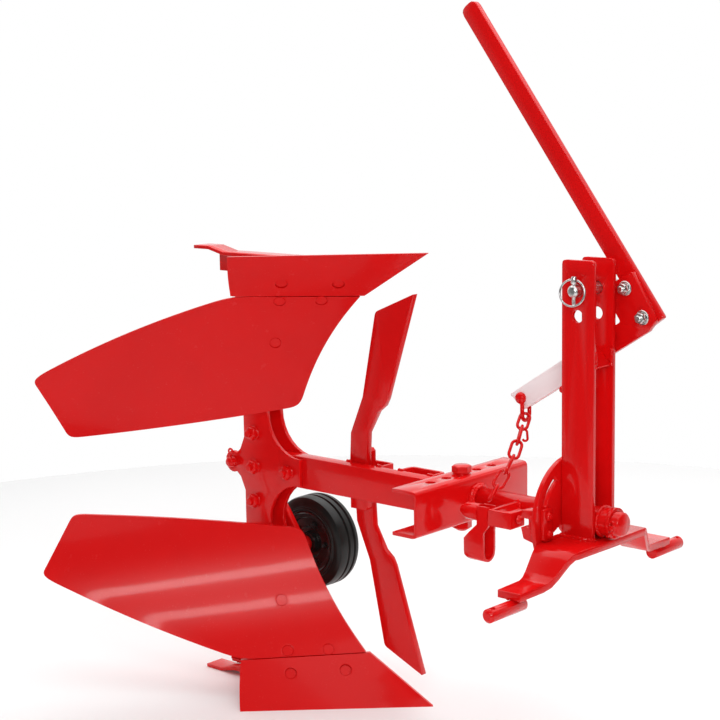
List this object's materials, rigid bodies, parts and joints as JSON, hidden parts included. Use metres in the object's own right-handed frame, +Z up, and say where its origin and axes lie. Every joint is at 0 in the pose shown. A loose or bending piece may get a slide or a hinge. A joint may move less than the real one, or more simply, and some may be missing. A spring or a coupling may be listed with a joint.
{
  "type": "two-way moldboard plough",
  "caption": "Roll-over moldboard plough on a three-point hitch headstock, with mirrored upper and lower bodies, knives, a roll-over lever and a gauge wheel.",
  "frame": {"origin": "on the floor, under the middle of the plough's box", "axes": "+X forward to the tractor, +Y to the tractor's left, +Z up"},
  "size_m": [1.0372, 0.6404, 1.219],
  "materials": {
    "red_paint": "gloss",
    "zinc_plate": "satin",
    "black_paint": "gloss",
    "rubber": "satin"
  },
  "bodies": {
    "headstock_frame": {"cross_plate": "red_paint", "mast_plate_right": "red_paint", "mast_plate_left": "red_paint", "mast_brace": "red_paint", "lower_link_pin_right": "red_paint", "lower_link_pin_left": "red_paint", "roll_bearing_tube": "red_paint", "sector_plate": "red_paint", "catch_block_right": "red_paint", "catch_block_left": "red_paint", "catch_strip_right": "red_paint", "catch_strip_left": "red_paint", "top_link_pin": "zinc_plate", "lynch_pin": "zinc_plate", "lever_rest_peg": "red_paint", "lever_pivot_stud": "red_paint"},
    "roll_lever": {"lever_crank": "red_paint", "lever_bar": "red_paint", "chain_shackle": "red_paint"},
    "turnover_frame": {"roll_shaft": "red_paint", "thrust_washer": "red_paint", "cross_channel": "red_paint", "main_beam": "red_paint", "knife_strap_rear": "red_paint", "knife_strap_front": "red_paint", "knife_upper": "red_paint", "knife_lower": "red_paint", "frog_plate_right": "red_paint", "frog_plate_left": "red_paint", "moldboard_upper": "red_paint", "moldboard_lower": "red_paint", "share_upper": "red_paint", "share_lower": "red_paint", "heel_upper": "red_paint", "heel_lower": "red_paint", "latch_frame": "red_paint", "latch_pin": "red_paint", "latch_spring": "red_paint", "latch_handle": "red_paint", "chain_links": "red_paint", "wheel_pivot_pin": "red_paint"},
    "gauge_arm": {"wheel_arm": "red_paint", "wheel_axle": "red_paint"},
    "gauge_wheel": {"wheel_rim": "black_paint", "wheel_tyre": "rubber"}
  },
  "joints": [
    {"name": "roll_over", "type": "hinge", "parent": "headstock_frame", "child": "turnover_frame", "pos_m": [0.19519, 0.05122, 0.402], "axis": [-1, 0, 0], "range_deg": [0, 180]},
    {"name": "lever_swing", "type": "hinge", "parent": "headstock_frame", "child": "roll_lever", "pos_m": [0.41489, 0.08722, 0.67], "axis": [0, 1, 0], "range_deg": [0, 35]},
    {"name": "gauge_wheel_swing", "type": "hinge", "parent": "turnover_frame", "child": "gauge_arm", "pos_m": [-0.33811, 0.04722, 0.402], "axis": [0, -1, 0], "range_deg": [0, 110.2]},
    {"name": "gauge_wheel_spin", "type": "hinge", "parent": "gauge_arm", "child": "gauge_wheel", "pos_m": [-0.22997, 0.10422, 0.24699], "axis": [0, 1, 0], "continuous": true}
  ]
}
